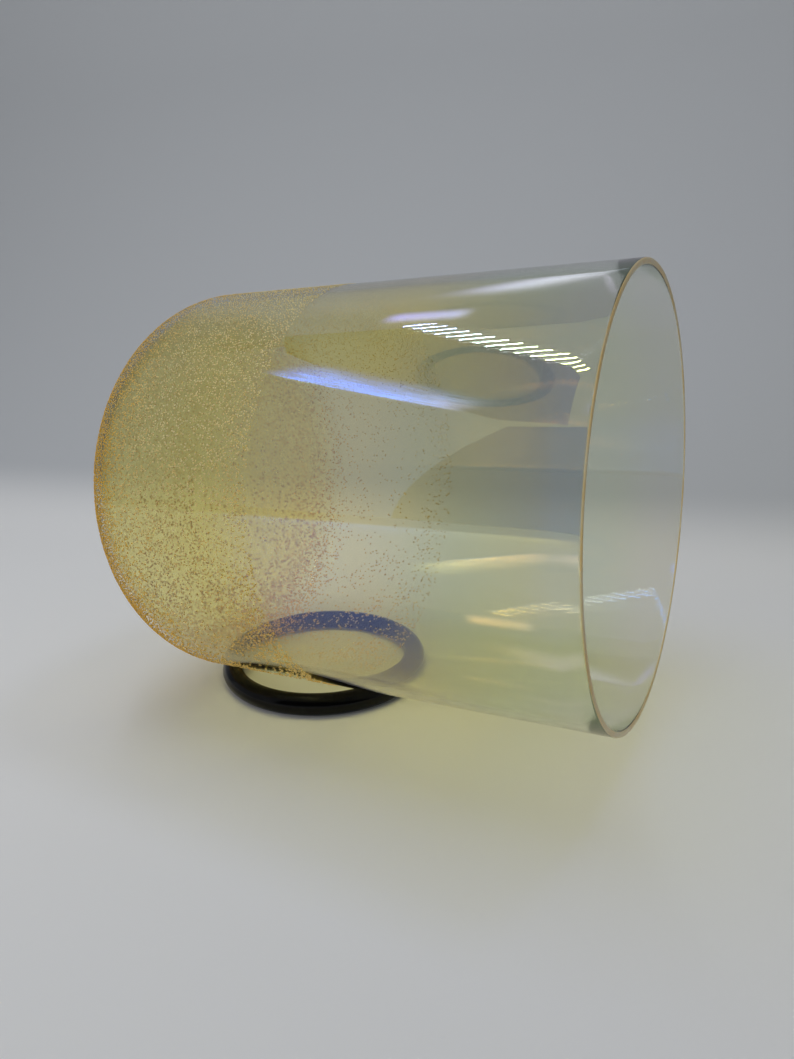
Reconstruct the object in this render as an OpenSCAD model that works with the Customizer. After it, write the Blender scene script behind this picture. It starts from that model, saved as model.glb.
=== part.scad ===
// Crystal singing bowl: a standing bell of clear fused quartz with a skin of sand
// grains sintered to its closed end, lying on its side in a rubber O-ring cradle.
// +X runs from the closed end to the mouth and +Z is up. The origin is on the table,
// at the middle of the whole object's plan.

/* [Bowl] */
// Outside diameter of the straight wall
bowl_od = 178; // [150:1:220]
// Length from the crown of the closed end to the mouth
bowl_len = 229; // [180:1:280]
// Thickness of the quartz
wall = 2.5; // [2:0.1:4]
// Outside radius of the shallow crown that closes the end
crown_r = 214; // [190:1:300]
// Outside radius of the shoulder between the crown and the wall
shoulder_r = 36; // [28:0.5:48]
// Chamfer that breaks the two sharp edges of the ground mouth
edge_break = 0.4; // [0.1:0.1:0.6]

/* [Sand skin] */
// Thickness of the layer of sintered grains
skin_t = 0.4; // [0.2:0.1:0.8]
// Distance from the crown to the line where the grains stop
skin_len = 122; // [70:1:150]

/* [O-ring] */
// Outside diameter of the rubber ring
ring_od = 102; // [84:1:124]
// Diameter of its round cord
ring_cord = 10.2; // [8:0.1:14]
// How far the cord is pressed flat against the table
foot_press = 0.15; // [0.05:0.05:0.4]

/* [Seat] */
// Angle by which the mouth is tipped up from level
tip_up = 3; // [0:0.1:5]
// How far the ring's middle lies to the side of the bowl's axis
side_shift = 3.8; // [0:0.1:8]
// Clearance between the ring and the bowl where they meet
seat_gap = 0.3; // [0.2:0.05:0.6]

/* [Hidden] */

$fn = 128;
draw_past = 1;
bowl_r = bowl_od / 2;
cord_r = ring_cord / 2;
ring_r = ring_od / 2 - cord_r;
ring_z = cord_r - foot_press;
// Half the span between the two places where the ring passes under the bowl's axis
half_span = sqrt(pow(ring_r, 2) - pow(side_shift, 2));

// Side view of the closed end: the crown's centre is on the axis, and the shoulder's
// centre is where both arcs share a tangent, which it also shares with the wall.
shoulder_in = bowl_r - shoulder_r;
shoulder_s = crown_r - sqrt(pow(crown_r - shoulder_r, 2) - pow(shoulder_in, 2));
crown_angle = asin(shoulder_in / (crown_r - shoulder_r));

// The ring touches the bowl twice: its mouth side bears on the straight wall, and its
// other side on the shoulder. lift is the distance of the bowl's axis from the ring's
// middle, square to the axis, and s a station along the axis from the crown.
function cord_s(s, angle) = s + ring_r * cos(angle) * cos(tip_up);
function cord_from_axis(lift, angle) = norm([
    lift + ring_r * cos(angle) * sin(tip_up),
    side_shift + ring_r * sin(angle)
]);

// Clearance between the cord, at an angle round the ring, and the skin over it.
function skin_gap(lift, s, angle) = (
    cord_s(s, angle) < shoulder_s
    ? norm([
        cord_s(s, angle) - shoulder_s,
        cord_from_axis(lift, angle) - shoulder_in
    ]) - shoulder_r
    : cord_from_axis(lift, angle) - bowl_r
) - skin_t - cord_r;
function shoulder_gap(lift, s) = min([for (angle = [90:2:270]) skin_gap(lift, s, angle)]);

// That clearance falls as the ring moves towards the mouth, so halving the stretch
// finds the station of the ring's middle where it is the seat's.
function halve(lift, low, high, steps) = steps == 0 ? low :
    shoulder_gap(lift, (low + high) / 2) > seat_gap
    ? halve(lift, (low + high) / 2, high, steps - 1)
    : halve(lift, low, (low + high) / 2, steps - 1);
function seat_s(lift) = halve(lift, shoulder_s - ring_r, shoulder_s + ring_r, 20);

// The skin is between the ring and the wall only where it reaches that far.
bare_lift = bowl_r + seat_gap + cord_r - half_span * sin(tip_up);
bearing_s = seat_s(bare_lift) + half_span * cos(tip_up);
wall_skin = skin_len > bearing_s - cord_r / 2 ? skin_t : 0;
axis_lift = bare_lift + wall_skin;
ring_s = seat_s(axis_lift);

// Crown point relative to the ring's middle, then the shift that centres the plan.
crown_x = -ring_s * cos(tip_up) - axis_lift * sin(tip_up);
crown_z = ring_z - ring_s * sin(tip_up) + axis_lift * cos(tip_up);
plan_low = crown_x - (crown_r * (1 - cos(tip_up)) + skin_t);
plan_high = crown_x + bowl_len * cos(tip_up) + (bowl_r - edge_break) * sin(tip_up);
ring_x = -(plan_low + plan_high) / 2;

// Half of the closed shape inside the outer face, stopped at a distance from the
// crown, in the X-Y plane with the axis along +Y. A positive grow is outwards.
module half_outline(stop, grow) {
    far = 2 * crown_r;
    intersection() {
        union() {
            translate([0, shoulder_s])
                square([bowl_r + grow, stop - shoulder_s]);
            translate([shoulder_in, shoulder_s])
                circle(r = shoulder_r + grow);
            intersection() {
                translate([0, crown_r])
                    circle(r = crown_r + grow);
                polygon([
                    [0, crown_r],
                    [0, crown_r - far],
                    [far * sin(crown_angle), crown_r - far * cos(crown_angle)],
                ]);
            }
        }
        translate([0, -far])
            square([far, far + stop]);
    }
}

// Chamfers on the inner and outer edges of the mouth, as the corners they remove.
module mouth_corners() {
    for (corner = [[bowl_r, -1], [bowl_r - wall, 1]])
        translate([corner[0], bowl_len])
            polygon([
                [corner[1] * edge_break, 0],
                [-corner[1] * draw_past, -edge_break - draw_past],
                [-corner[1] * draw_past, draw_past],
                [corner[1] * edge_break, draw_past],
            ]);
}

// Puts a shape that is drawn along +Z from its crown where the bowl lies.
module lay_down() {
    translate([ring_x + crown_x, 0, crown_z])
        rotate([0, 90 - tip_up, 0])
            children();
}

module quartz_bowl() {
    color([0.86, 0.87, 0.78, 0.45])
        lay_down()
            rotate_extrude()
                difference() {
                    half_outline(bowl_len, 0);
                    half_outline(bowl_len + draw_past, -wall);
                    mouth_corners();
                }
}

module sand_skin() {
    color([0.70, 0.52, 0.30])
        lay_down()
            rotate_extrude()
                difference() {
                    half_outline(skin_len, skin_t);
                    half_outline(skin_len + draw_past, 0);
                }
}

module support_ring() {
    color([0.05, 0.05, 0.05])
        translate([ring_x, side_shift, 0])
            rotate_extrude()
                difference() {
                    translate([ring_r, ring_z])
                        circle(d = ring_cord);
                    translate([ring_r - cord_r, -ring_cord])
                        square([ring_cord, ring_cord]);
                }
}

quartz_bowl();
sand_skin();
support_ring();
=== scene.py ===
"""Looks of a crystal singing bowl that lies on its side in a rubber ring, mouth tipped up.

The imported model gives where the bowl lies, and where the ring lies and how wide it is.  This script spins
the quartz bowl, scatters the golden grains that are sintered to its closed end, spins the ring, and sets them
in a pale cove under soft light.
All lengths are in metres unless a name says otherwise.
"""

from __future__ import annotations

import logging
import math
from dataclasses import dataclass, field
from enum import Enum

import bmesh
import bpy
import numpy as np
from mathutils import Matrix, Vector

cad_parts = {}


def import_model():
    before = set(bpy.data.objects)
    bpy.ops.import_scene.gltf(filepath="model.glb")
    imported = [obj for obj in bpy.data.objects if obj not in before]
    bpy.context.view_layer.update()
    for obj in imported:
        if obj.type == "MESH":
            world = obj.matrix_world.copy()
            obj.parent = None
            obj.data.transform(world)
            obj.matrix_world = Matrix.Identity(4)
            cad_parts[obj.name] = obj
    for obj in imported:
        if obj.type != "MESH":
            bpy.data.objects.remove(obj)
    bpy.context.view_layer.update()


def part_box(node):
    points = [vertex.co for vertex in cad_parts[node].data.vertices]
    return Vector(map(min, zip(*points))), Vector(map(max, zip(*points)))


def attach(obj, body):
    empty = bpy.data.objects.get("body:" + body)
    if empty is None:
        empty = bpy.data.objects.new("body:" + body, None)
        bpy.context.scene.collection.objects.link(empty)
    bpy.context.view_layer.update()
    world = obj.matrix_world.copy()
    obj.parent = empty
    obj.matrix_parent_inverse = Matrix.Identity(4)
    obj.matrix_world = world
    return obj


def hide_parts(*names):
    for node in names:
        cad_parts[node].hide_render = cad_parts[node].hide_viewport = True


LOG = logging.getLogger("singing_bowl")
MM = 0.001
FULL_TURN = 2.0 * math.pi
RIGHT_ANGLE = math.pi / 2.0
MERGE_GAP = 0.001 * MM

Colour = tuple[float, float, float]


class Slot(Enum):
    """The record's material slots."""

    QUARTZ = "clear_quartz"
    SAND = "sintered_sand"
    RUBBER = "black_rubber"


class Body(Enum):
    """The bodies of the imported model."""

    BOWL = "bowl"
    RING = "ring"


def rgba(colour: Colour) -> tuple[float, float, float, float]:
    """Returns a colour with full alpha."""
    return (*colour, 1.0)


# ------------------------------------------------------------------------------------------ shader maths


class Signal:
    """A shader socket that takes Python arithmetic."""

    def __init__(self, nodes: "NodeTree", socket: bpy.types.NodeSocket) -> None:
        """Keeps the socket and the tree it belongs to."""
        self.nodes = nodes
        self.socket = socket

    def maths(self, operation: str, *others: "Signal | float", clamp: bool = False) -> "Signal":
        """Adds a Math node.

        Args:
            operation: The Math node's operation.
            *others: The second and third operands.
            clamp: True to hold the result between 0 and 1.

        Returns:
            The node's result.
        """
        values = dict(enumerate((self, *others)))
        node = self.nodes.make("ShaderNodeMath", {"operation": operation, "use_clamp": clamp}, values)
        return self.nodes.signal(node)

    def __add__(self, other: "Signal | float") -> "Signal":
        """Returns the sum."""
        return self.maths("ADD", other)

    __radd__ = __add__

    def __mul__(self, other: "Signal | float") -> "Signal":
        """Returns the product."""
        return self.maths("MULTIPLY", other)

    __rmul__ = __mul__

    def __sub__(self, other: "Signal | float") -> "Signal":
        """Returns the difference."""
        return self.maths("SUBTRACT", other)

    def __rsub__(self, other: float) -> "Signal":
        """Returns a number less this signal."""
        return self.maths("MULTIPLY", -1.0).maths("ADD", other)

    def clamped(self) -> "Signal":
        """Returns the signal held between 0 and 1."""
        return self.maths("MULTIPLY", 1.0, clamp=True)

    def ramp(self, low: float, high: float) -> "Signal":
        """Returns 0 at low, 1 at high and a smooth rise between; the two may be given either way round."""
        settings = {"interpolation_type": "SMOOTHSTEP"}
        values = {"Value": self, "From Min": min(low, high), "From Max": max(low, high)}
        rise = self.nodes.signal(self.nodes.make("ShaderNodeMapRange", settings, values))
        return rise if low < high else 1.0 - rise

    def blend(self, low: Colour, high: Colour) -> "Signal":
        """Returns the colour low where the signal is 0 and high where it is 1."""
        return self.nodes.mix(self, rgba(low), rgba(high))


class NodeTree:
    """A material's nodes, with one way to make each kind."""

    def __init__(self, name: str) -> None:
        """Makes an empty material."""
        self.material = bpy.data.materials.new(name)
        self.material.use_nodes = True
        self.tree = self.material.node_tree
        self.tree.nodes.clear()

    def make(self, kind: str, settings: dict | None = None, values: dict | None = None) -> bpy.types.Node:
        """Makes a node.

        Args:
            kind: The node's type.
            settings: The node's own properties, set first.
            values: A number, colour, vector or Signal for each named or numbered input.

        Returns:
            The node.
        """
        node = self.tree.nodes.new(kind)
        for key, value in (settings or {}).items():
            setattr(node, key, value)
        for key, value in (values or {}).items():
            socket = node.inputs[key]
            if isinstance(value, Signal):
                self.tree.links.new(value.socket, socket)
            else:
                socket.default_value = value
        return node

    def signal(self, node: bpy.types.Node, output: str | int = 0) -> Signal:
        """Returns one of a node's outputs."""
        return Signal(self, node.outputs[output])

    def mix(self, share: "Signal | float", low: object, high: object) -> Signal:
        """Returns two colours or colour signals mixed."""
        node = self.make("ShaderNodeMix", {"data_type": "RGBA"}, {"Factor": share})
        for name, value in (("A", low), ("B", high)):
            socket = next(i for i in node.inputs if i.name == name and i.type == "RGBA")
            if isinstance(value, Signal):
                self.tree.links.new(value.socket, socket)
            else:
                socket.default_value = value
        return Signal(self, next(o for o in node.outputs if o.type == "RGBA"))

    def place(self, origin: Vector, turn: float) -> Signal:
        """Returns the Object coordinates measured from origin, along axes turned about +Y by turn."""
        source = self.signal(self.make("ShaderNodeTexCoord"), "Object")
        values = {"Vector": source, "Location": origin, "Rotation": (0.0, turn, 0.0)}
        return self.signal(self.make("ShaderNodeMapping", {"vector_type": "TEXTURE"}, values))

    def parts(self, vector: Signal) -> tuple[Signal, Signal, Signal]:
        """Returns a vector's three parts."""
        node = self.make("ShaderNodeSeparateXYZ", None, {"Vector": vector})
        return self.signal(node, 0), self.signal(node, 1), self.signal(node, 2)

    def stretch(self, vector: Signal, scale: tuple[float, float, float]) -> Signal:
        """Returns a vector with each part multiplied."""
        node = self.make("ShaderNodeVectorMath", {"operation": "MULTIPLY"}, {0: vector, 1: scale})
        return self.signal(node)

    def noise(self, vector: Signal, scale: float, detail: float = 2.0, roughness: float = 0.5) -> Signal:
        """Returns noise between 0 and 1 about scale times a unit of length."""
        values = {"Vector": vector, "Scale": scale, "Detail": detail, "Roughness": roughness}
        return self.signal(self.make("ShaderNodeTexNoise", None, values), "Fac")

    def bump(self, height: Signal, depth: float, strength: float = 1.0) -> Signal:
        """Returns the normal over a relief that is depth high."""
        values = {"Height": height, "Distance": depth, "Strength": strength}
        return self.signal(self.make("ShaderNodeBump", None, values))

    def principled(self, values: dict) -> Signal:
        """Returns a Principled shader."""
        return self.signal(self.make("ShaderNodeBsdfPrincipled", None, values))

    def merge(self, share: "Signal", low: Signal, high: Signal) -> Signal:
        """Returns the shader low where share is 0 and high where it is 1."""
        return self.signal(self.make("ShaderNodeMixShader", None, {0: share, 1: low, 2: high}))

    def let_lamps_through(self, shader: Signal, tint: Colour) -> Signal:
        """Returns the shader, with lamps reaching what is behind it tinted instead of blocked."""
        path = self.signal(self.make("ShaderNodeLightPath"), "Is Shadow Ray")
        clear = self.signal(self.make("ShaderNodeBsdfTransparent", None, {"Color": rgba(tint)}))
        return self.merge(path, shader, clear)

    def finish(self, shader: Signal) -> bpy.types.Material:
        """Joins the shader to the output and returns the material."""
        self.make("ShaderNodeOutputMaterial", None, {"Surface": shader})
        return self.material


# ------------------------------------------------------------------------------------------ finishes


@dataclass(frozen=True)
class Coat:
    """The thin film fired on to the quartz, by its thickness in nanometres and its refractive index."""

    thickness_nm: float
    ior: float

    def values(self) -> dict[str, float]:
        """Returns the shader's film values."""
        return {"Thin Film Thickness": self.thickness_nm, "Thin Film IOR": self.ior}


@dataclass(frozen=True)
class FilmedQuartz:
    """Clear fused quartz under a thin coat that mirrors violet and lets yellow through."""

    thin_coat: Coat = Coat(134.0, 2.3)
    thick_coat: Coat = Coat(205.0, 2.15)
    ior: float = 1.458
    crown_tint: Colour = (1.0, 0.93, 0.40)
    dome_tint: Colour = (1.0, 0.985, 0.84)
    wall_tint: Colour = (0.97, 0.925, 0.61)
    teal_tint: Colour = (0.83, 0.90, 0.79)
    mouth_tint: Colour = (0.88, 0.885, 0.87)
    glaze: Colour = (1.0, 0.80, 0.26)
    glaze_share: float = 0.6
    glaze_roughness: float = 0.6
    glaze_transmission: float = 0.85
    glaze_scale: float = 260.0
    lamp_tint: Colour = (0.91, 0.885, 0.69)
    roughness: float = 0.025
    wave_scale: float = 240.0
    wave_depth: float = 0.0015 * MM
    wave_stretch: tuple[float, float, float] = (1.0, 0.12, 0.12)
    crown_edge: float = 0.3
    mouth_start: float = 0.65
    mouth_full: float = 0.97
    teal_share: float = 0.7
    coat_start: float = 0.65
    glaze_full: float = 0.35
    glaze_end: float = 0.9
    glaze_patch: tuple[float, float] = (0.3, 0.7)
    glaze_least: float = 0.4
    glaze_detail: float = 4.0

    def tint(self, nodes: NodeTree, bowl: "BowlShape", along: Signal, to_mouth: Signal) -> Signal:
        """Returns the glass's own colour: yellow at the closed end, and teal just before a neutral mouth.

        Args:
            nodes: The material's nodes.
            bowl: The bowl that the tints are laid out along.
            along: The distance along the bowl from its closed end.
            to_mouth: The share of the mouth's look.
        """
        dome = along.ramp(bowl.shoulder_start * self.crown_edge, bowl.shoulder_start)
        wall = along.ramp(bowl.shoulder_start, bowl.grain_line)
        tint = nodes.mix(wall, dome.blend(self.crown_tint, self.dome_tint), rgba(self.wall_tint))
        tint = nodes.mix(to_mouth, tint, rgba(self.mouth_tint))
        halfway = to_mouth * (1.0 - to_mouth) * 4.0
        return nodes.mix(halfway * self.teal_share, tint, rgba(self.teal_tint))

    def filmed(self, nodes: NodeTree, values: dict, to_mouth: Signal) -> Signal:
        """Returns the glass under its coat, which thickens towards the mouth.

        Args:
            nodes: The material's nodes.
            values: The bare glass's values.
            to_mouth: The share of the thick coat.
        """
        sides = [nodes.principled(values | coat.values()) for coat in (self.thin_coat, self.thick_coat)]
        return nodes.merge(to_mouth, *sides)

    def glazed(
        self, nodes: NodeTree, bowl: "BowlShape", place: Signal, along: Signal, glass: Signal
    ) -> Signal:
        """Returns the glass with the golden glaze that the sand has melted into round the shoulder.

        Args:
            nodes: The material's nodes.
            bowl: The bowl.
            place: The place, measured from the closed end.
            along: The distance along the bowl from its closed end.
            glass: The glass under the glaze.
        """
        sandy = along.ramp(bowl.shoulder_start * self.glaze_end, bowl.shoulder_start * self.glaze_full)
        patches = nodes.noise(place, self.glaze_scale, detail=self.glaze_detail).ramp(*self.glaze_patch)
        share = sandy * (patches * (1.0 - self.glaze_least) + self.glaze_least) * self.glaze_share
        values = {
            "Base Color": rgba(self.glaze),
            "Roughness": self.glaze_roughness,
            "IOR": self.ior,
            "Transmission Weight": self.glaze_transmission,
        }
        return nodes.merge(share, glass, nodes.principled(values))

    def material(self, bowl: "BowlShape", coated: bool) -> bpy.types.Material:
        """Makes the material of one face of the wall.

        Args:
            bowl: The bowl that the tints are laid out along.
            coated: True for the outer face, which carries the coat, and False for the bare inner one.

        Returns:
            The material.
        """
        nodes = NodeTree("filmed_quartz" if coated else "bare_quartz")
        place = nodes.place(bowl.apex, -bowl.tip)
        along, _, _ = nodes.parts(place)
        to_mouth = along.ramp(bowl.length * self.mouth_start, bowl.length * self.mouth_full)
        waves = nodes.noise(nodes.stretch(place, self.wave_stretch), self.wave_scale)
        values = {
            "Base Color": self.tint(nodes, bowl, along, to_mouth),
            "Roughness": self.roughness,
            "IOR": self.ior,
            "Transmission Weight": 1.0,
            "Normal": nodes.bump(waves, self.wave_depth),
        }
        glass = nodes.principled(values)
        if coated:
            past_sand = along.ramp(bowl.grain_line * self.coat_start, bowl.grain_line)
            glass = nodes.merge(past_sand, glass, self.filmed(nodes, values, to_mouth))
            glass = self.glazed(nodes, bowl, place, along, glass)
        return nodes.finish(nodes.let_lamps_through(glass, self.lamp_tint))


@dataclass(frozen=True)
class GroundRim:
    """Ground edge of the quartz, amber where the coat has run over it, with chips in its relief and a painted
    glint that tints chips and patches pale.
    """

    amber: Colour = (0.92, 0.64, 0.24)
    pale: Colour = (0.93, 0.84, 0.57)
    lamp_tint: Colour = (0.93, 0.925, 0.83)
    roughness: float = 0.32
    transmission: float = 0.35
    ior: float = 1.458
    chip_scale: float = 900.0
    chip_depth: float = 0.12 * MM
    glint_patch_scale: float = 60.0
    patch_range: tuple[float, float] = (0.35, 0.7)
    glint_range: tuple[float, float] = (0.5, 0.7)
    patch_share: float = 0.6

    def material(self) -> bpy.types.Material:
        """Makes the rim's material."""
        nodes = NodeTree("ground_rim")
        place = nodes.signal(nodes.make("ShaderNodeTexCoord"), "Object")
        chips = nodes.noise(place, self.chip_scale, detail=1.0)
        # Painted glint: pale patches and bright chips laid over the amber stand in for the sparkle of the
        # ground edge; the chips also roughen the relief.
        patch = nodes.noise(place, self.glint_patch_scale).ramp(*self.patch_range)
        bright = chips.ramp(*self.glint_range)
        tint = (patch * self.patch_share + bright * (1.0 - self.patch_share)).blend(self.amber, self.pale)
        values = {
            "Base Color": tint,
            "Roughness": self.roughness,
            "IOR": self.ior,
            "Transmission Weight": self.transmission,
            "Normal": nodes.bump(chips, self.chip_depth),
        }
        return nodes.finish(nodes.let_lamps_through(nodes.principled(values), self.lamp_tint))


@dataclass(frozen=True)
class GoldenGrain:
    """Translucent golden quartz sand."""

    pale: Colour = (0.97, 0.86, 0.48)
    deep: Colour = (0.95, 0.53, 0.03)
    brown: Colour = (0.50, 0.29, 0.015)
    grain_noise_scale: float = 700.0
    patch_noise_scale: float = 45.0
    dark_noise_scale: float = 910.0
    grain_range: tuple[float, float] = (0.3, 0.7)
    patch_range: tuple[float, float] = (0.35, 0.65)
    dark_range: tuple[float, float] = (0.55, 0.75)
    pale_height: float = 0.8
    deep_height: float = -0.4
    end_start: float = 1.5
    end_full: float = 0.5
    grain_share: float = 0.25
    patch_share: float = 0.15
    low_share: float = 0.35
    end_share: float = 0.7
    low_brown: float = 0.55
    least_brown: float = 0.2
    roughness: float = 0.35
    transmission: float = 0.15
    ior: float = 1.5

    def material(self, bowl: "BowlShape") -> bpy.types.Material:
        """Makes the grains' material.

        Args:
            bowl: The bowl that the grains lie on.

        Returns:
            The material.
        """
        nodes = NodeTree("golden_grain")
        place = nodes.place(bowl.apex, -bowl.tip)
        along, _, height = nodes.parts(place)
        each = nodes.noise(place, self.grain_noise_scale, detail=0.0).ramp(*self.grain_range)
        patch = nodes.noise(place, self.patch_noise_scale, detail=1.0).ramp(*self.patch_range)
        low = height.ramp(bowl.radius * self.pale_height, bowl.radius * self.deep_height)
        closed_end = along.ramp(bowl.shoulder_start * self.end_start, bowl.shoulder_start * self.end_full)
        from_noise = each * self.grain_share + patch * self.patch_share
        depth = (from_noise + low * self.low_share + closed_end * self.end_share).clamped()
        tint = depth.blend(self.pale, self.deep)
        dark = nodes.noise(place, self.dark_noise_scale, detail=0.0).ramp(*self.dark_range)
        brownness = low * self.low_brown + self.least_brown
        tint = nodes.mix(dark * brownness, tint, rgba(self.brown))
        values = {
            "Base Color": tint,
            "Roughness": self.roughness,
            "IOR": self.ior,
            "Transmission Weight": self.transmission,
        }
        return nodes.finish(nodes.principled(values))


@dataclass(frozen=True)
class BlackRubber:
    """Glossy moulded black rubber with a trace of dust."""

    black: Colour = (0.0015, 0.0015, 0.002)
    dust: Colour = (0.012, 0.012, 0.012)
    roughness: float = 0.16
    dusty_roughness: float = 0.4
    ior: float = 1.5
    gloss: float = 0.2
    dust_scale: float = 60.0
    skin_scale: float = 900.0
    skin_depth: float = 0.02 * MM
    skin_strength: float = 0.3
    dust_range: tuple[float, float] = (0.55, 0.8)
    dust_detail: float = 6.0
    dust_roughness: float = 0.7

    def material(self) -> bpy.types.Material:
        """Makes the rubber."""
        nodes = NodeTree("glossy_rubber")
        place = nodes.signal(nodes.make("ShaderNodeTexCoord"), "Object")
        specks = nodes.noise(place, self.dust_scale, self.dust_detail, self.dust_roughness)
        dusty = specks.ramp(*self.dust_range)
        tint = dusty.blend(self.black, self.dust)
        rough = dusty * (self.dusty_roughness - self.roughness) + self.roughness
        normal = nodes.bump(nodes.noise(place, self.skin_scale), self.skin_depth, self.skin_strength)
        values = {
            "Base Color": tint,
            "Roughness": rough,
            "IOR": self.ior,
            "Specular IOR Level": self.gloss,
            "Normal": normal,
        }
        return nodes.finish(nodes.principled(values))


@dataclass(frozen=True)
class PaleCard:
    """Matt pale sweep, with painted shade that makes it a little darker up its wall."""

    floor_colour: Colour = (0.80, 0.80, 0.80)
    shaded_wall_colour: Colour = (0.515, 0.53, 0.55)
    shade_rise: float = 0.03
    roughness: float = 0.9
    gloss: float = 0.1

    def material(self) -> bpy.types.Material:
        """Makes the floor's paper, with its painted shade."""
        nodes = NodeTree("pale_card")
        place = nodes.signal(nodes.make("ShaderNodeTexCoord"), "Object")
        _, _, height = nodes.parts(place)
        # Painted shade: the colour darkens from the floor's to the shaded wall colour as the paper rises.
        tint = height.ramp(0.0, self.shade_rise).blend(self.floor_colour, self.shaded_wall_colour)
        values = {"Base Color": tint, "Roughness": self.roughness, "Specular IOR Level": self.gloss}
        return nodes.finish(nodes.principled(values))


# ------------------------------------------------------------------------------------------ helpers


def add_object(name: str, mesh_source: bmesh.types.BMesh, smooth: bool = True) -> bpy.types.Object:
    """Turns a bmesh into an object at the origin and frees it.

    Args:
        name: The object's name.
        mesh_source: The bmesh, in place.
        smooth: True to shade its faces smooth.

    Returns:
        The object, in the scene.
    """
    mesh = bpy.data.meshes.new(name)
    mesh_source.to_mesh(mesh)
    mesh_source.free()
    if smooth:
        mesh.shade_smooth()
    else:
        mesh.shade_flat()
    piece = bpy.data.objects.new(name, mesh)
    bpy.context.scene.collection.objects.link(piece)
    return piece


def spin_profile(profile: bmesh.types.BMesh, centre: Vector, axis: Vector, steps: int) -> None:
    """Spins every edge of a bmesh a full turn, closes its poles and faces it outwards.

    Args:
        profile: The bmesh, which holds only the profile's edges.
        centre: A point on the axis.
        axis: The axis of the turn.
        steps: How many parts make the turn.
    """
    geometry = profile.verts[:] + profile.edges[:]
    bmesh.ops.spin(
        profile, geom=geometry, cent=centre, axis=axis, angle=FULL_TURN, steps=steps, use_merge=True
    )
    bmesh.ops.remove_doubles(profile, verts=profile.verts[:], dist=MERGE_GAP)
    bmesh.ops.recalc_face_normals(profile, faces=profile.faces[:])


# ------------------------------------------------------------------------------------------ the bowl


@dataclass
class BowlShape:
    """The bowl's line: a shallow crown, a round shoulder and a straight wall, spun about a tipped axis."""

    radius: float = 89.0 * MM
    length: float = 229.0 * MM
    wall: float = 2.5 * MM
    crown_radius: float = 214.0 * MM
    shoulder_radius: float = 36.0 * MM
    edge_break: float = 0.4 * MM
    rim_round: float = 1.0 * MM
    ground_depth: float = 0.6 * MM
    grain_line: float = 122.0 * MM
    tip: float = math.radians(3.0)

    def __post_init__(self) -> None:
        """Works out where the arcs meet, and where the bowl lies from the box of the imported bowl."""
        reach = self.crown_radius - self.shoulder_radius
        self.shoulder_offset = self.radius - self.shoulder_radius
        self.crown_angle = math.asin(self.shoulder_offset / reach)
        self.shoulder_start = self.crown_radius - reach * math.cos(self.crown_angle)
        low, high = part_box("quartz_bowl")
        edge = self.length - self.edge_break
        rise = edge * math.sin(self.tip) + self.radius * math.cos(self.tip)
        inset = self.radius - self.edge_break
        run = self.length * math.cos(self.tip) + inset * math.sin(self.tip)
        self.apex = Vector((high[0] - run, (low[1] + high[1]) / 2.0, high[2] - rise))

    @property
    def lay_down(self) -> Matrix:
        """The move from the bowl's own line, apex at the origin and axis along +X, to its place."""
        return Matrix.Translation(self.apex) @ Matrix.Rotation(-self.tip, 4, "Y")


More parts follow.
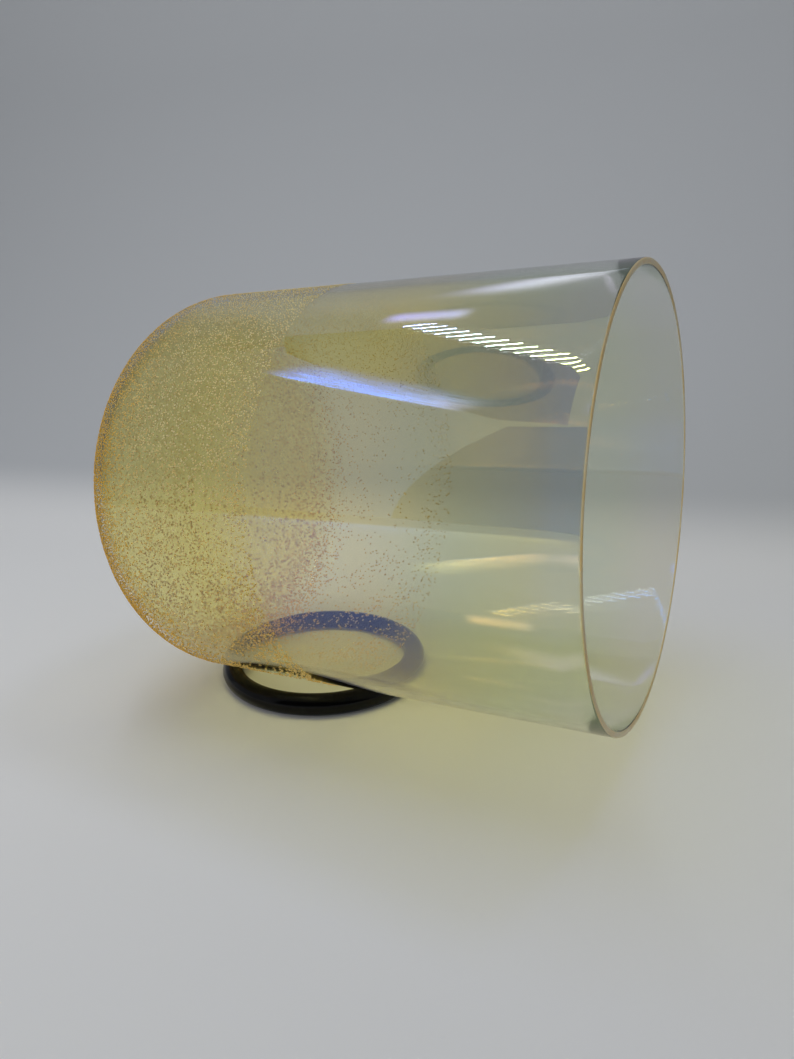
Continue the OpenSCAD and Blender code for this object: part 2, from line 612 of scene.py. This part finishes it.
@dataclass
class QuartzBowl:
    """The clear bowl itself, one closed wall with a rounded rim."""

    shape: BowlShape
    finish: FilmedQuartz = field(default_factory=FilmedQuartz)
    rim_finish: GroundRim = field(default_factory=GroundRim)
    around: int = 224
    crown_steps: int = 22
    shoulder_steps: int = 30
    wall_steps: int = 24
    rim_steps: int = 6

    def bend(self, line: bmesh.types.BMesh, centre: tuple[float, float], angle: float, steps: int) -> None:
        """Carries the line on round an arc.

        Args:
            line: The profile so far; its last vertex is the arc's start.
            centre: The arc's centre, along and out from the axis.
            angle: The arc's angle, positive from the axis towards the mouth.
            steps: How many parts make the arc.
        """
        line.verts.ensure_lookup_table()
        hub = Vector((centre[0], 0.0, centre[1]))
        bmesh.ops.spin(
            line, geom=[line.verts[-1]], cent=hub, axis=(0.0, 1.0, 0.0), angle=angle, steps=steps
        )

    def run(self, line: bmesh.types.BMesh, along: float, steps: int) -> None:
        """Carries the line on straight along the wall.

        Args:
            line: The profile so far.
            along: How far, negative back towards the closed end.
            steps: How many parts the wall is divided in.
        """
        for _ in range(steps):
            line.verts.ensure_lookup_table()
            grown = bmesh.ops.extrude_vert_indiv(line, verts=[line.verts[-1]])
            step = Vector((along / steps, 0.0, 0.0))
            bmesh.ops.translate(line, vec=step, verts=grown["verts"])

    def side(self, line: bmesh.types.BMesh, depth: float, outwards: bool) -> None:
        """Draws one face of the wall from the crown to the rim's round, or back.

        Args:
            line: The profile so far, or an empty bmesh to start on the axis.
            depth: How far inside the outer face this face lies.
            outwards: True from the crown to the rim, False from the rim to the crown.
        """
        shape = self.shape
        straight = shape.length - shape.rim_round - shape.shoulder_start
        crown = (shape.crown_radius, 0.0)
        shoulder = (shape.shoulder_start, shape.shoulder_offset)
        turn = RIGHT_ANGLE - shape.crown_angle
        if outwards:
            line.verts.new((depth, 0.0, 0.0))
            self.bend(line, crown, shape.crown_angle, self.crown_steps)
            self.bend(line, shoulder, turn, self.shoulder_steps)
            self.run(line, straight, self.wall_steps)
        else:
            self.run(line, -straight, self.wall_steps)
            self.bend(line, shoulder, -turn, self.shoulder_steps)
            self.bend(line, crown, -shape.crown_angle, self.crown_steps)

    def rim(self, line: bmesh.types.BMesh) -> None:
        """Rounds the rim from the inner face to the outer one."""
        shape = self.shape
        start = shape.length - shape.rim_round
        inner = shape.radius - shape.wall + shape.rim_round
        outer = shape.radius - shape.rim_round
        self.bend(line, (start, inner), -RIGHT_ANGLE, self.rim_steps)
        line.verts.ensure_lookup_table()
        grown = bmesh.ops.extrude_vert_indiv(line, verts=[line.verts[-1]])
        bmesh.ops.translate(line, vec=(0.0, 0.0, outer - inner), verts=grown["verts"])
        self.bend(line, (start, outer), -RIGHT_ANGLE, self.rim_steps)

    def build(self) -> bpy.types.Object:
        """Spins the bowl, dresses it and sets it on its body."""
        line = bmesh.new()
        self.side(line, self.shape.wall, outwards=True)
        self.rim(line)
        self.side(line, 0.0, outwards=False)
        spin_profile(line, Vector(), Vector((1.0, 0.0, 0.0)), self.around)
        heart = Vector((self.shape.shoulder_start, 0.0, 0.0))
        for face in line.faces:
            middle = face.calc_center_median()
            if middle.x > self.shape.length - self.shape.ground_depth:
                face.material_index = 2
            elif face.normal.dot(middle - heart) < 0.0:
                face.material_index = 1
        bmesh.ops.transform(line, matrix=self.shape.lay_down, verts=line.verts[:])
        piece = add_object("quartz_bowl_glass", line)
        piece.data.materials.append(self.finish.material(self.shape, coated=True))
        piece.data.materials.append(self.finish.material(self.shape, coated=False))
        piece.data.materials.append(self.rim_finish.material())
        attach(piece, Body.BOWL.value)
        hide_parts("quartz_bowl")
        return piece


# ------------------------------------------------------------------------------------------ the grains


@dataclass
class SandSkin:
    """Golden grains sintered to the closed end, thick on the shoulder and thinning out up the wall."""

    shape: BowlShape
    finish: GoldenGrain = field(default_factory=GoldenGrain)
    seed: int = 20
    doublings: int = 13
    clouds: int = 3
    half_length: float = 0.46 * MM
    half_width: float = 0.38 * MM
    half_height: float = 0.22 * MM
    length_spread: tuple[float, float] = (0.6, 1.35)
    width_spread: tuple[float, float] = (0.7, 1.3)
    height_spread: tuple[float, float] = (0.6, 1.0)
    sunk: float = 0.04 * MM
    least_gap: float = 0.68 * MM
    fade: float = 7.0 * MM
    ragged_waves: tuple[tuple[float, float, float], ...] = ((0.35, 5.0, 0.0), (0.25, 11.0, 1.0))
    patch_waves: int = 9
    patch_pitch: tuple[float, float] = (70.0, 260.0)
    patch_turns: tuple[int, int] = (2, 16)
    patch_contrast: float = 0.8
    shoulder_place: float = 0.6
    shoulder_spread: float = 12.0 * MM
    line_inset: float = 12.0 * MM
    line_spread: float = 16.0 * MM
    base_share: float = 0.09
    line_share: float = 0.18
    top_share: float = 0.5
    patch_share: float = 0.22
    least_share: float = 0.04
    far_loss: float = 0.8
    tries_per_grain: int = 14
    past_line: float = 45.0 * MM
    skin_height: float = 0.4 * MM
    middle_size: float = 0.98
    size_swing: float = 0.28
    roughening: float = 0.08

    def meridian(self, distance: np.ndarray) -> tuple[np.ndarray, np.ndarray, np.ndarray]:
        """Follows the outer face from the apex.

        Args:
            distance: How far along the face from the apex.

        Returns:
            The place along the axis, the distance out from it, and the face's lean from the axis.
        """
        shape = self.shape
        crown_end = shape.crown_radius * shape.crown_angle
        shoulder_end = crown_end + shape.shoulder_radius * (RIGHT_ANGLE - shape.crown_angle)
        lean = np.where(
            distance < crown_end,
            distance / shape.crown_radius,
            np.minimum(shape.crown_angle + (distance - crown_end) / shape.shoulder_radius, RIGHT_ANGLE),
        )
        on_crown = distance < crown_end
        bend = np.where(on_crown, shape.crown_radius, shape.shoulder_radius)
        hub_along = np.where(on_crown, shape.crown_radius, shape.shoulder_start)
        hub_out = np.where(on_crown, 0.0, shape.shoulder_offset)
        on_wall = np.maximum(distance - shoulder_end, 0.0)
        return hub_along - bend * np.cos(lean) + on_wall, hub_out + bend * np.sin(lean), lean

    def thickness(self, along: np.ndarray, around: np.ndarray, chance: np.random.Generator) -> np.ndarray:
        """Says how likely a grain is to have stuck at each place.

        Args:
            along: The places along the axis.
            around: The angles round it.
            chance: The source of random numbers.

        Returns:
            A likelihood between 0 and 1 for each place.
        """
        patch = np.zeros_like(along)
        for _ in range(self.patch_waves):
            pitch = chance.uniform(*self.patch_pitch)
            turns = chance.integers(*self.patch_turns)
            patch += np.sin(along * pitch + around * turns + chance.uniform(0.0, FULL_TURN))
        patch = 1.0 / (1.0 + np.exp(-patch * self.patch_contrast))
        shoulder_middle = self.shape.shoulder_start * self.shoulder_place
        shoulder = np.exp(-(((along - shoulder_middle) / self.shoulder_spread) ** 2))
        line = np.exp(-(((along - self.shape.grain_line + self.line_inset) / self.line_spread) ** 2))
        top = 0.5 + 0.5 * np.cos(around)
        ragged = self.fade * sum(
            height * np.sin(around * turns + start) for height, turns, start in self.ragged_waves
        )
        end = np.clip((self.shape.grain_line + ragged - along) / self.fade, 0.0, 1.0)
        far_side = np.clip(np.sin(around), 0.0, 1.0)
        likely = self.base_share + shoulder + self.line_share * line + self.top_share * top**2
        likely += self.patch_share * (patch - 0.5)
        return np.clip(likely, self.least_share, 1.0) * end * (1.0 - self.far_loss * far_side)

    def scatter(self, count: int, chance: np.random.Generator) -> tuple[np.ndarray, np.ndarray]:
        """Chooses places for the grains that lie clear of one another.

        Args:
            count: How many are wanted.
            chance: The source of random numbers.

        Returns:
            The distance along the face and the angle round the axis of each grain.
        """
        longest = self.shape.grain_line + self.fade + self.past_line
        tries = count * self.tries_per_grain
        distance = chance.uniform(0.0, longest, tries)
        around = chance.uniform(0.0, FULL_TURN, tries)
        along, out, _ = self.meridian(distance)
        keep = chance.random(tries) < out / self.shape.radius
        keep &= chance.random(tries) < self.thickness(along, around, chance)
        distance, around = distance[keep], around[keep]
        along, out = along[keep], out[keep]
        points = np.stack([along, out * np.sin(around), out * np.cos(around)], axis=1)
        cells: dict[tuple[int, ...], list[int]] = {}
        chosen: list[int] = []
        for index, key in enumerate(map(tuple, np.floor(points / self.least_gap).astype(int))):
            near = [
                other
                for dx in (-1, 0, 1)
                for dy in (-1, 0, 1)
                for dz in (-1, 0, 1)
                for other in cells.get((key[0] + dx, key[1] + dy, key[2] + dz), ())
            ]
            if near and min(np.sum((points[near] - points[index]) ** 2, axis=1)) < self.least_gap**2:
                continue
            cells.setdefault(key, []).append(index)
            chosen.append(index)
            if len(chosen) == count:
                break
        LOG.info("%d grains of %d wanted", len(chosen), count)
        return distance[chosen], around[chosen]

    def build(self) -> list[bpy.types.Object]:
        """Scatters the grains over the closed end, in a few clouds."""
        chance = np.random.default_rng(self.seed)
        each = 2**self.doublings
        distance, around = self.scatter(each * self.clouds, chance)
        finish = self.finish.material(self.shape)
        clouds = []
        for index in range(self.clouds):
            part = slice(index * each, (index + 1) * each)
            piece = self.cloud(f"sand_grains_{index + 1}", distance[part], around[part], chance)
            piece.data.materials.append(finish)
            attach(piece, Body.BOWL.value)
            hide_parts("sand_skin")
            clouds.append(piece)
        return clouds

    def cloud(
        self, name: str, distance: np.ndarray, around: np.ndarray, chance: np.random.Generator
    ) -> bpy.types.Object:
        """Copies one small stone to every place.

        Args:
            name: The piece's name.
            distance: The grains' distances along the face.
            around: Their angles round the axis.
            chance: The source of random numbers.

        Returns:
            The piece.
        """
        stones = bmesh.new()
        bmesh.ops.create_icosphere(stones, subdivisions=1, radius=1.0)
        corners = len(stones.verts)
        for _ in range(self.doublings):
            bmesh.ops.duplicate(stones, geom=stones.verts[:] + stones.edges[:] + stones.faces[:])
        piece = add_object(name, stones, smooth=False)
        count = len(distance)
        local = np.empty(len(piece.data.vertices) * 3)
        piece.data.vertices.foreach_get("co", local)
        local = local.reshape(-1, corners, 3)[:count]
        size = np.stack(
            [
                self.half_length * chance.uniform(*self.length_spread, count),
                self.half_width * chance.uniform(*self.width_spread, count),
                self.half_height * chance.uniform(*self.height_spread, count),
            ],
            axis=1,
        )
        size *= self.middle_size - self.size_swing * np.cos(around)[:, None]
        local = local * (1.0 + chance.normal(0.0, self.roughening, local.shape)) * size[:, None, :]
        along, out, lean = self.meridian(distance)
        zero = np.zeros_like(lean)
        radial = np.stack([zero, np.sin(around), np.cos(around)], axis=1)
        round_way = np.stack([zero, np.cos(around), -np.sin(around)], axis=1)
        axial = np.tile([1.0, 0.0, 0.0], (count, 1))
        normal = radial * np.sin(lean)[:, None] - axial * np.cos(lean)[:, None]
        uphill = radial * np.cos(lean)[:, None] + axial * np.sin(lean)[:, None]
        twist = chance.uniform(0.0, math.pi, count)[:, None]
        first = uphill * np.cos(twist) + round_way * np.sin(twist)
        second = np.cross(normal, first)
        too_high = np.maximum(2.0 * size[:, 2:3] - self.sunk - self.skin_height, 0.0)
        lift = size[:, 2:3] - self.sunk - too_high
        centre = axial * along[:, None] + radial * out[:, None] + normal * lift
        frame = np.stack([first, second, normal], axis=1)
        points = np.einsum("gvi,gij->gvj", local, frame) + centre[:, None, :]
        placed = points.reshape(-1, 3) @ np.array(self.shape.lay_down.to_3x3()).T
        placed += np.array(self.shape.apex)
        piece.data.vertices.foreach_set("co", placed.ravel())
        piece.data.update()
        return piece


# ------------------------------------------------------------------------------------------ the ring


@dataclass
class SupportRing:
    """The rubber ring under the bowl, with a faint mould line and a foot pressed flat."""

    cord_radius: float = 5.1 * MM
    foot_press: float = 0.15 * MM
    mould_line: float = 0.08 * MM
    finish: BlackRubber = field(default_factory=BlackRubber)
    around: int = 160
    cord_steps: int = 48

    def build(self) -> bpy.types.Object:
        """Spins the ring about its upright axis, flattens its foot and sets it on its body."""
        low, high = (Vector(corner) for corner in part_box("support_ring"))
        centre = (low + high) / 2.0
        centre.z = self.cord_radius - self.foot_press
        turn_radius = (high.x - low.x) / 2.0 - self.cord_radius
        cord = bmesh.new()
        stand = Matrix.Translation(centre + Vector((turn_radius, 0.0, 0.0))) @ Matrix.Rotation(
            RIGHT_ANGLE, 4, "X"
        )
        bmesh.ops.create_circle(
            cord, segments=self.cord_steps, radius=self.cord_radius, matrix=stand, cap_ends=False
        )
        for vertex in cord.verts:
            if abs(vertex.co.z - centre.z) < self.mould_line:
                side = math.copysign(self.mould_line, vertex.co.x - centre.x - turn_radius)
                vertex.co.x += side
        spin_profile(cord, centre, Vector((0.0, 0.0, 1.0)), self.around)
        cut = bmesh.ops.bisect_plane(
            cord,
            geom=cord.verts[:] + cord.edges[:] + cord.faces[:],
            plane_co=(0.0, 0.0, 0.0),
            plane_no=(0.0, 0.0, -1.0),
            clear_outer=True,
        )
        rims = [item for item in cut["geom_cut"] if isinstance(item, bmesh.types.BMEdge)]
        bmesh.ops.bridge_loops(cord, edges=rims)
        bmesh.ops.recalc_face_normals(cord, faces=cord.faces[:])
        piece = add_object("rubber_ring", cord)
        piece.data.materials.append(self.finish.material())
        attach(piece, Body.RING.value)
        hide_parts("support_ring")
        return piece


# ------------------------------------------------------------------------------------------ the studio


@dataclass
class Viewpoint:
    """The camera, by place and by the way it looks."""

    place: tuple[float, float, float] = (0.16895, -0.30282, 0.18527)
    yaw_degrees: float = 28.606
    pitch_degrees: float = 16.798
    roll_degrees: float = -1.304
    lens_mm: float = 27.031
    sensor_mm: float = 36.0

    def build(self) -> bpy.types.Object:
        """Makes the scene's camera."""
        data = bpy.data.cameras.new("viewpoint")
        data.lens = self.lens_mm
        data.sensor_width = self.sensor_mm
        data.clip_start = 1.0 * MM
        camera = bpy.data.objects.new("viewpoint", data)
        upright = Matrix.Rotation(RIGHT_ANGLE - math.radians(self.pitch_degrees), 4, "X")
        yaw = Matrix.Rotation(math.radians(self.yaw_degrees), 4, "Z")
        roll = Matrix.Rotation(math.radians(self.roll_degrees), 4, "Z")
        camera.matrix_world = Matrix.Translation(self.place) @ yaw @ upright @ roll
        bpy.context.scene.collection.objects.link(camera)
        bpy.context.scene.camera = camera
        return camera


@dataclass
class Studio:
    """A pale cove, an even pale room round it, lamps, glowing sheets, and dark cards to mirror."""

    paper: PaleCard = field(default_factory=PaleCard)
    room_colour: Colour = (0.275, 0.285, 0.30)
    room_strength: float = 1.0
    floor_front: float = 3.0
    floor_behind: float = 0.16
    cove_yaw_degrees: float = 12.0
    sweep_radius: float = 0.42
    wall_height: float = 2.2
    half_width: float = 4.0
    sweep_steps: int = 40
    overhead_power: float = 1.75
    overhead_size: float = 0.8
    overhead_spread: float = math.radians(130.0)
    overhead_place: tuple[float, float, float] = (-0.30, -0.05, 1.15)
    fill_power: float = 2.4
    fill_size: float = 0.7
    fill_place: tuple[float, float, float] = (-0.45, -1.1, 0.45)
    fill_lean: float = math.radians(72.0)
    fill_turn: float = math.radians(-22.0)
    key_power: float = 0.9
    key_size: float = 0.16
    key_place: tuple[float, float, float] = (0.22, 0.18, 0.95)
    lamp_height: float = 0.6
    dots: int = 15
    dot_size: tuple[float, float] = (0.036, 0.0018)
    dot_turn: float = math.radians(12.0)
    dot_power: float = 0.017
    dot_colour: Colour = (0.86, 0.92, 1.0)
    row_start: tuple[float, float] = (-0.210, 0.070)
    row_end: tuple[float, float] = (-0.020, -0.205)
    blue: Colour = (0.42, 0.74, 1.0)
    violet: Colour = (0.66, 0.56, 1.0)
    lavender: Colour = (0.80, 0.74, 1.0)
    cyan: Colour = (0.25, 0.62, 1.0)
    glow_start: tuple[float, float] = (-0.415, -0.163)
    glow_end: tuple[float, float] = (-0.208, -0.435)
    glow_width: float = 0.11
    glow_strength: float = 5.0
    haze_middle: tuple[float, float] = (-0.212, 0.135)
    haze_size: tuple[float, float] = (0.11, 0.10)
    haze_strength: float = 2.2
    low_middle: tuple[float, float] = (-0.13, 0.57)
    low_size: tuple[float, float] = (0.60, 0.18)
    low_turn: float = math.radians(75.0)
    low_strength: float = 1.3
    back_start: tuple[float, float] = (-0.155, 0.635)
    back_end: tuple[float, float] = (-0.053, 0.560)
    back_width: float = 0.05
    back_strength: float = 4.0
    side_strokes: tuple[float, float] = (2.5, 26.0)
    back_strokes: tuple[float, float] = (30.0, 1.5)
    stroke_detail: float = 3.0
    stroke_range: tuple[float, float] = (0.38, 0.62)
    stroke_share: float = 0.8
    end_fade: float = 0.55
    fade_end: float = -0.9
    sharp_edge: float = -0.93
    card_colour: Colour = (0.02, 0.02, 0.022)
    front_place: float = -0.7
    front_sides: tuple[float, float] = (-0.285, 5.0)
    front_heights: tuple[float, float] = (0.096, 0.77)
    slot_rise: float = 0.01
    slot_corners: tuple[tuple[float, float], ...] = (
        (-0.38, 0.05),
        (-0.20, 0.06),
        (-0.03, -0.24),
        (-0.09, -0.53),
        (-0.19, -0.49),
        (-0.37, -0.06),
    )

    def cove(self) -> bpy.types.Object:
        """Sweeps the floor up into a wall behind the bowl, turned by cove_yaw_degrees."""
        paper = bmesh.new()
        paper.verts.new((0.0, -self.floor_front, 0.0))
        grown = bmesh.ops.extrude_vert_indiv(paper, verts=paper.verts[:])
        length = self.floor_front + self.floor_behind
        bmesh.ops.translate(paper, vec=(0.0, length, 0.0), verts=grown["verts"])
        paper.verts.ensure_lookup_table()
        hub = (0.0, self.floor_behind, self.sweep_radius)
        bmesh.ops.spin(
            paper,
            geom=[paper.verts[-1]],
            cent=hub,
            axis=(1.0, 0.0, 0.0),
            angle=RIGHT_ANGLE,
            steps=self.sweep_steps,
        )
        paper.verts.ensure_lookup_table()
        grown = bmesh.ops.extrude_vert_indiv(paper, verts=[paper.verts[-1]])
        bmesh.ops.translate(paper, vec=(0.0, 0.0, self.wall_height), verts=grown["verts"])
        bmesh.ops.translate(paper, vec=(-self.half_width, 0.0, 0.0), verts=paper.verts[:])
        sheet = bmesh.ops.extrude_edge_only(paper, edges=paper.edges[:])
        moved = [item for item in sheet["geom"] if isinstance(item, bmesh.types.BMVert)]
        bmesh.ops.translate(paper, vec=(2.0 * self.half_width, 0.0, 0.0), verts=moved)
        turn = Matrix.Rotation(math.radians(self.cove_yaw_degrees), 4, "Z")
        bmesh.ops.transform(paper, matrix=turn, verts=paper.verts[:])
        piece = add_object("pale_cove", paper)
        piece.data.materials.append(self.paper.material())
        return piece

    def room(self) -> None:
        """Sets the even pale light of the room."""
        world = bpy.data.worlds.new("pale_room")
        world.use_nodes = True
        background = world.node_tree.nodes["Background"]
        background.inputs["Color"].default_value = rgba(self.room_colour)
        background.inputs["Strength"].default_value = self.room_strength
        bpy.context.scene.world = world

    def lamp(
        self,
        name: str,
        place: tuple[float, float, float],
        size: tuple[float, float],
        power: float,
        turn: float = 0.0,
        lean: float = 0.0,
        mirrored: bool = True,
    ) -> bpy.types.Object:
        """Hangs one flat lamp, which shines down unless it leans.

        Args:
            name: The lamp's name.
            place: Its middle.
            size: Its length and width.
            power: Its power in watts.
            turn: Its turn about the upright.
            lean: Its lean forwards, before the turn.
            mirrored: False to keep it out of mirrorings and glass.

        Returns:
            The lamp.
        """
        data = bpy.data.lights.new(name, "AREA")
        data.shape = "RECTANGLE"
        data.size, data.size_y = size
        data.energy = power
        lamp = bpy.data.objects.new(name, data)
        stand = Matrix.Rotation(turn, 4, "Z") @ Matrix.Rotation(lean, 4, "X")
        lamp.matrix_world = Matrix.Translation(place) @ stand
        lamp.visible_glossy = mirrored
        lamp.visible_transmission = mirrored
        lamp.visible_camera = False
        bpy.context.scene.collection.objects.link(lamp)
        return lamp

    def glow(
        self,
        name: str,
        middle: tuple[float, float],
        size: tuple[float, float],
        turn: float,
        strength: float,
        colour: Colour,
        end_colour: Colour | None = None,
        strokes: tuple[float, float] | None = None,
    ) -> bpy.types.Object:
        """Hangs a softly glowing sheet that only the glass mirrors.

        Args:
            name: The sheet's name.
            middle: Its middle, seen from above.
            size: Its length and width.
            turn: Its turn about the upright.
            strength: How bright its middle is.
            colour: The colour of its light.
            end_colour: The colour of its light at its far end, where that is another one.
            strokes: How fine the strokes are along and across a sheet that is sharp on one side and breaks
                up in strokes to the other; None for an even sheet.

        Returns:
            The sheet.
        """
        centre = Vector((*middle, self.lamp_height))
        sheet = bmesh.new()
        bmesh.ops.create_grid(sheet, x_segments=1, y_segments=1, size=1.0)
        half = (size[0] / 2.0, size[1] / 2.0, 1.0)
        bmesh.ops.scale(sheet, vec=half, verts=sheet.verts[:])
        stand = Matrix.Translation(centre) @ Matrix.Rotation(turn, 4, "Z")
        bmesh.ops.transform(sheet, matrix=stand, verts=sheet.verts[:])
        piece = add_object(name, sheet)
        nodes = NodeTree(name)
        source = nodes.signal(nodes.make("ShaderNodeTexCoord"), "Object")
        values = {"Vector": source, "Location": centre, "Rotation": (0.0, 0.0, turn), "Scale": half}
        local = nodes.signal(nodes.make("ShaderNodeMapping", {"vector_type": "TEXTURE"}, values))
        along, across, _ = nodes.parts(local)
        ends = along.maths("ABSOLUTE").ramp(1.0, self.end_fade)
        if strokes:
            drawn_out = nodes.stretch(local, (*strokes, 1.0))
            streaks = nodes.noise(drawn_out, 1.0, detail=self.stroke_detail).ramp(*self.stroke_range)
            fade = across.ramp(1.0, self.fade_end) * across.ramp(-1.0, self.sharp_edge)
            light = ends * fade * (streaks * self.stroke_share + (1.0 - self.stroke_share))
        else:
            light = ends * across.maths("ABSOLUTE").ramp(1.0, 0.0)
        shade = (along * 0.5 + 0.5).clamped().blend(colour, end_colour or colour)
        values = {"Color": shade, "Strength": light * strength}
        lit = nodes.signal(nodes.make("ShaderNodeEmission", None, values))
        clear = nodes.signal(nodes.make("ShaderNodeBsdfTransparent"))
        material = nodes.finish(nodes.signal(nodes.make("ShaderNodeAddShader", None, {0: lit, 1: clear})))
        material.cycles.emission_sampling = "NONE"
        piece.data.materials.append(material)
        piece.visible_camera = False
        piece.visible_diffuse = False
        piece.visible_shadow = False
        return piece

    def band(
        self,
        name: str,
        start: tuple[float, float],
        end: tuple[float, float],
        width: float,
        strength: float,
        colours: tuple[Colour, Colour],
        strokes: tuple[float, float],
    ) -> None:
        """Hangs one long brushed glow between two points, on the side towards the bowl's mouth."""
        way = Vector(end) - Vector(start)
        turn = math.atan2(way.y, way.x)
        side = Vector((-way.y, way.x)).normalized() * (width / 2.0)
        middle = (Vector(start) + Vector(end)) / 2.0 + side
        self.glow(name, tuple(middle), (way.length, width), turn, strength, *colours, strokes)

    def lights(self) -> None:
        """Hangs the lamps: soft ones above and in front, a row of bright dots, and the glowing sheets."""
        size = (self.overhead_size, self.overhead_size)
        overhead = self.lamp("overhead", self.overhead_place, size, self.overhead_power, mirrored=False)
        overhead.data.spread = self.overhead_spread
        fill = self.fill_size, self.fill_size
        self.lamp("fill", self.fill_place, fill, self.fill_power, self.fill_turn, self.fill_lean, False)
        key_size = (self.key_size, self.key_size)
        self.lamp("key", self.key_place, key_size, self.key_power, mirrored=False)
        first = Vector((*self.row_start, self.lamp_height))
        last = Vector((*self.row_end, self.lamp_height))
        for index in range(self.dots):
            place = first.lerp(last, index / (self.dots - 1))
            dot = self.lamp(f"dot_{index + 1}", tuple(place), self.dot_size, self.dot_power, self.dot_turn)
            dot.data.color = self.dot_colour
        side = self.glow_start, self.glow_end, self.glow_width, self.glow_strength
        self.band("side_glow", *side, (self.blue, self.violet), self.side_strokes)
        back = self.back_start, self.back_end, self.back_width, self.back_strength
        self.band("back_glow", *back, (self.cyan, self.lavender), self.back_strokes)
        self.glow("low_haze", self.low_middle, self.low_size, self.low_turn, self.low_strength, self.lavender)
        self.glow("ceiling_haze", self.haze_middle, self.haze_size, 0.0, self.haze_strength, self.lavender)

    def dark_card(self, name: str, corners: list[tuple[float, float, float]]) -> bpy.types.Object:
        """Sets a dark card that only the glass mirrors.

        Args:
            name: The card's name.
            corners: Its corners in order.

        Returns:
            The card.
        """
        card = bmesh.new()
        card.faces.new([card.verts.new(corner) for corner in corners])
        piece = add_object(name, card)
        nodes = NodeTree(name)
        values = {"Base Color": rgba(self.card_colour), "Roughness": 1.0, "Specular IOR Level": 0.0}
        piece.data.materials.append(nodes.finish(nodes.principled(values)))
        piece.visible_camera = False
        piece.visible_diffuse = False
        piece.visible_transmission = False
        piece.visible_shadow = False
        return piece

    def cards(self) -> None:
        """Sets the cards: the room's open front and the dark slot between the lamp rows."""
        front = self.front_place
        left, right = self.front_sides
        low, high = self.front_heights
        corners = [(left, front, low), (right, front, low), (right, front, high), (left, front, high)]
        self.dark_card("open_front", corners)
        height = self.lamp_height + self.slot_rise
        self.dark_card("ceiling_slot", [(x, y, height) for x, y in self.slot_corners])

    def build(self) -> None:
        """Makes the whole studio."""
        self.room()
        self.cove()
        self.lights()
        self.cards()


def main() -> None:
    """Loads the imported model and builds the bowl, its grains, its ring and the studio round them."""
    logging.basicConfig(level=logging.INFO, format="%(name)s: %(message)s")
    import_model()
    Viewpoint().build()
    shape = BowlShape()
    for builder in (QuartzBowl(shape), SandSkin(shape), SupportRing()):
        made = builder.build()
        for piece in made if isinstance(made, list) else [made]:
            LOG.info("%s: %d faces", piece.name, len(piece.data.polygons))
    Studio().build()
    bpy.context.scene.view_settings.view_transform = "Standard"


if __name__ == "__main__":
    main()
